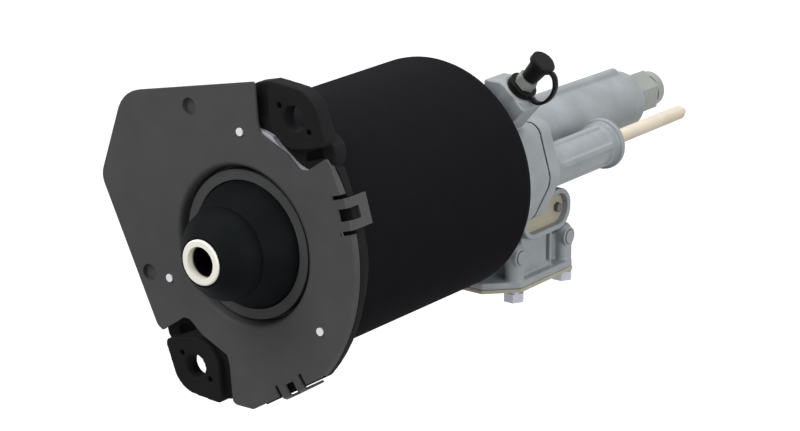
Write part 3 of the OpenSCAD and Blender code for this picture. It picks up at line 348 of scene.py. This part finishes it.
def drift_colour(material, colour, variation):
    """Lets the colour grow lighter and darker by this share from spot to spot."""
    tree = material.node_tree
    link = tree.links.new
    where = add_node(tree, "TexCoord")
    drift = add_node(tree, "TexNoise", {"Scale": DRIFT_SCALE, "Detail": DRIFT_DETAIL})
    spread = add_node(tree, "MapRange", {"From Min": DRIFT_LOW, "From Max": DRIFT_HIGH,
                                         "To Min": 1 - variation, "To Max": 1 + variation})
    tint = add_node(tree, "VectorMath", {0: colour}, operation="SCALE")
    link(where.outputs["Object"], drift.inputs["Vector"])
    link(drift.outputs[0], spread.inputs["Value"])
    link(spread.outputs[0], tint.inputs["Scale"])
    link(tint.outputs[0], shader_of(material).inputs["Base Color"])


def grain_surface(material, size, depth):
    """Gives the surface a grain of this size in m."""
    tree = material.node_tree
    link = tree.links.new
    where = add_node(tree, "TexCoord")
    fine = add_node(tree, "TexNoise", {"Scale": 1 / size, "Detail": GRAIN_DETAIL})
    bump = add_node(tree, "Bump", {"Strength": depth, "Distance": size * GRAIN_RISE})
    link(where.outputs["Object"], fine.inputs["Vector"])
    link(fine.outputs[0], bump.inputs["Height"])
    link(bump.outputs[0], shader_of(material).inputs["Normal"])


def paint_bore_shade(material):
    """Painted shade: inside the push rod's bore, and behind its mouth, the material's colour turns near
    black.
    """
    tree = material.node_tree
    link = tree.links.new
    base = shader_of(material).inputs["Base Color"]
    own_colour = base.links[0].from_socket
    where = add_node(tree, "TexCoord")
    split = add_node(tree, "SeparateXYZ")
    flat = add_node(tree, "VectorMath", {1: (1, 0, 1)}, operation="MULTIPLY")
    reach = add_node(tree, "VectorMath", operation="LENGTH")
    inside = add_node(tree, "Math", {1: ROD_BORE * MM}, operation="LESS_THAN")
    behind = add_node(tree, "MapRange", {"From Min": (ROD_BORE_Y - ROD_BORE_FADE) * MM,
                                         "From Max": (ROD_BORE_Y + ROD_BORE_FADE) * MM})
    both = add_node(tree, "Math", operation="MULTIPLY")
    mix = add_node(tree, "Mix", {MIX_SECOND: ROD_BORE_PAINTED_SHADE}, data_type="RGBA")
    link(where.outputs["Object"], flat.inputs[0])
    link(where.outputs["Object"], split.inputs[0])
    link(flat.outputs[0], reach.inputs[0])
    link(reach.outputs["Value"], inside.inputs[0])
    link(split.outputs["Y"], behind.inputs["Value"])
    link(inside.outputs[0], both.inputs[0])
    link(behind.outputs[0], both.inputs[1])
    link(both.outputs[0], mix.inputs[0])
    link(own_colour, mix.inputs[MIX_FIRST])
    link(mix.outputs[MIX_RESULT], base)


def piece(name, mesh, slot, body=None):
    """A new object of the servo, with its slot's material, which rides on a body if one is given."""
    mesh.materials.clear()
    mesh.materials.append(materials[slot])
    obj = bpy.data.objects.new(name, mesh)
    place(obj)
    if body:
        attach(obj, body)
    return obj


def body_of(node):
    return next(name for name, nodes in frame["record"]["behaviour"]["bodies"].items() if node in nodes)


def slot_of(node):
    return next(s["material_slot"] for s in frame["record"]["subparts"] if s["node"] == node)


def shade_smooth(mesh):
    for face in mesh.polygons:
        face.use_smooth = True


def evaluated(obj):
    """A mesh of the object with its modifiers applied."""
    graph = bpy.context.evaluated_depsgraph_get()
    return bpy.data.meshes.new_from_object(obj.evaluated_get(graph), depsgraph=graph)


def welded_copy(node):
    """The node's mesh in the row frame, as a bare scratch object with its seams closed."""
    source = frame["nodes"][node]
    mesh = bpy.data.meshes.new(node + "_scratch")
    work = bmesh.new()
    work.from_mesh(source.data)
    work.transform(source.matrix_world)
    bmesh.ops.remove_doubles(work, verts=work.verts, dist=WELD)
    bmesh.ops.recalc_face_normals(work, faces=work.faces)
    work.to_mesh(mesh)
    work.free()
    scratch = bpy.data.objects.new(node + "_scratch", mesh)
    place(scratch)
    return scratch


def finish_copy(scratch, node, suffix):
    """Turns a scratch object with its modifiers into the piece that stands for the node."""
    mesh = evaluated(scratch)
    bpy.data.objects.remove(scratch)
    mesh.name = node + suffix
    obj = piece(node + suffix, mesh, slot_of(node), body_of(node))
    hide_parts(node)
    return obj


def cast(node, voxel, rounds, triangles):
    """A casting: edges and inner corners flow into each other as they do from a sand or die mould."""
    scratch = welded_copy(node)
    remesh = scratch.modifiers.new("remesh", "REMESH")
    remesh.mode = "VOXEL"
    remesh.voxel_size = voxel * MM
    remesh.use_smooth_shade = True
    smooth = scratch.modifiers.new("smooth", "SMOOTH")
    smooth.factor = CAST_SMOOTHING
    smooth.iterations = rounds
    dense = evaluated(scratch)
    thin = scratch.modifiers.new("thin", "DECIMATE")
    thin.ratio = min(1.0, triangles / (2 * len(dense.polygons)))
    bpy.data.meshes.remove(dense)
    shade_smooth(finish_copy(scratch, node, "_cast").data)


def bend_lip(scratch):
    """Rounds the dish's edge on the front face, as a pressed sheet turns into its dish."""
    work = bmesh.new()
    work.from_mesh(scratch.data)
    bmesh.ops.dissolve_limit(work, angle_limit=math.radians(FLAT_ANGLE), verts=work.verts, edges=work.edges)
    on_edge = set()
    for corner in work.verts:
        radius = math.hypot(corner.co.x, corner.co.z) / MM
        if abs(radius - LIP_EDGE) < LIP_NEAR and abs(corner.co.y / MM) < FACE_NEAR:
            on_edge.add(corner)
    edges = [edge for edge in work.edges if all(corner in on_edge for corner in edge.verts)]
    bmesh.ops.bevel(work, geom=edges, offset=LIP_BEND * MM, segments=LIP_SEGMENTS, profile=LIP_ROUND,
                    affect="EDGES", clamp_overlap=False)
    work.to_mesh(scratch.data)
    work.free()


def broken_edges(node, width, lip=False):
    """A pressed, machined or moulded piece with its sharp edges broken, and its lip bent where asked."""
    scratch = welded_copy(node)
    if lip:
        bend_lip(scratch)
    bevel = scratch.modifiers.new("bevel", "BEVEL")
    bevel.width = width * MM
    bevel.segments = EDGE_SEGMENTS
    bevel.limit_method = "ANGLE"
    bevel.angle_limit = math.radians(EDGE_ANGLE)
    shade_smooth(scratch.data)
    scratch.modifiers.new("even", "WEIGHTED_NORMAL")
    finish_copy(scratch, node, "_edged")


def curve_points(points, step):
    """Points every step or so along a smooth curve through the given points."""
    last = len(points) - 1
    out = []
    for i in range(last):
        before, here, there, after = (Vector(points[max(0, min(last, i + k))]) for k in (-1, 0, 1, 2))
        bend = 2 * before - 5 * here + 4 * there - after
        twist = 3 * here - before - 3 * there + after
        count = max(1, round((there - here).length / step))
        for n in range(count):
            t = n / count
            out.append(0.5 * (2 * here + (there - before) * t + bend * t * t + twist * t ** 3))
    out.append(Vector(points[-1]))
    return out


def grid_mesh(name, rings, closed_along):
    """A tube of quads through equal rings of points; it closes on itself or gets two caps."""
    count, sides = len(rings), len(rings[0])
    verts = [tuple(point) for ring in rings for point in ring]
    faces = []
    for i in range(count if closed_along else count - 1):
        ring, after = i * sides, (i + 1) % count * sides
        for k in range(sides):
            beside = (k + 1) % sides
            faces.append((ring + k, ring + beside, after + beside, after + k))
    if not closed_along:
        faces.append(tuple(range(sides - 1, -1, -1)))
        faces.append(tuple((count - 1) * sides + k for k in range(sides)))
    mesh = bpy.data.meshes.new(name)
    mesh.from_pydata(verts, [], faces)
    work = bmesh.new()
    work.from_mesh(mesh)
    bmesh.ops.recalc_face_normals(work, faces=work.faces)
    work.to_mesh(mesh)
    work.free()
    shade_smooth(mesh)
    return mesh


def boot_part(name, outline):
    """One lobe of the boot: its outer curve, and an inner one a wall's thickness behind."""
    outer = curve_points(outline, BOOT_STEP)
    inner = [Vector((max(BOOT_INNER_LEAST, radius - BOOT_WALL), y + BOOT_WALL * BOOT_WALL_BACK))
             for radius, y in outer]
    loop = outer + inner[::-1]
    rings = []
    for n in range(BOOT_ROUND):
        angle = 2 * math.pi * n / BOOT_ROUND
        rings.append([Vector((math.cos(angle) * radius, y, math.sin(angle) * radius)) * MM
                      for radius, y in loop])
    return piece(name, grid_mesh(name, rings, True), "boot_rubber")


def boot():
    """The two lobes, large and nose, as pieces of their own in place of the boot's nodes."""
    large = boot_part("boot_large_lobe", BOOT_LARGE)
    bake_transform(large)
    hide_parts("boot_bellows")
    nose = boot_part("boot_nose_lobe", BOOT_NOSE)
    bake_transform(nose)
    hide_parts("boot_nose")


def strap():
    """The cap's strap, from the ring on the seat to the cap."""
    angle = math.radians(BLEED_ANGLE)
    out = Vector((math.cos(angle), 0, math.sin(angle)))
    across = Vector((math.sin(angle), 0, -math.cos(angle)))
    along = Vector((0, 1, 0))
    seat = out * BLEED_SEAT + along * BLEED_Y
    path = curve_points(STRAP_PATH, STRAP_STEP)
    rings = []
    for i, (sideways, height) in enumerate(path):
        way = (path[min(i + 1, len(path) - 1)] - path[max(i - 1, 0)]).normalized()
        side = across * -way[1] + out * way[0]
        middle = seat + across * sideways + out * height
        rings.append([(middle + along * wide * STRAP_W + side * thick * STRAP_T) * MM
                      for wide, thick in STRAP_SECTION])
    obj = piece("cap_strap", grid_mesh("cap_strap", rings, False), "cap_rubber")
    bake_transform(obj)
    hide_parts("bleeder_strap")


def spring(node, axis):
    """A smooth-shaded copy of the coil with its slot's material, attached to no body."""
    scratch = welded_copy(node)
    mesh = evaluated(scratch)
    bpy.data.objects.remove(scratch)
    shade_smooth(mesh)
    along = [corner.co[axis] for corner in mesh.vertices]
    low, high = Vector(), Vector()
    low[axis], high[axis] = min(along), max(along)
    obj = piece(node + "_coil", mesh, slot_of(node))
    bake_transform(obj)
    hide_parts(node)


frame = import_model()

materials = {slot: look(slot, *LOOKS[slot]) for slot in LOOKS}
for slot, (weight, roughness) in SATIN.items():
    set_shader(materials[slot], {"Sheen Weight": weight, "Sheen Roughness": roughness})
# painted shade in the push rod's bore
paint_bore_shade(materials["rod_steel"])
for part in frame["record"]["subparts"]:
    data = frame["nodes"][part["node"]].data
    data.materials.clear()
    data.materials.append(materials[part["material_slot"]])

camera()
for node, finish in CASTINGS.items():
    cast(node, *finish)
broken_edges("shield_plate", PLATE_EDGE, lip=True)
for node in SMALL_PIECES:
    broken_edges(node, SMALL_EDGE)
boot()
strap()
for node, (mover, axis) in SPRINGS.items():
    spring(node, axis)
for name, settings in LAMPS.items():
    lamp(name, *settings)
world()
floor()

bpy.context.scene.view_settings.view_transform = "Standard"
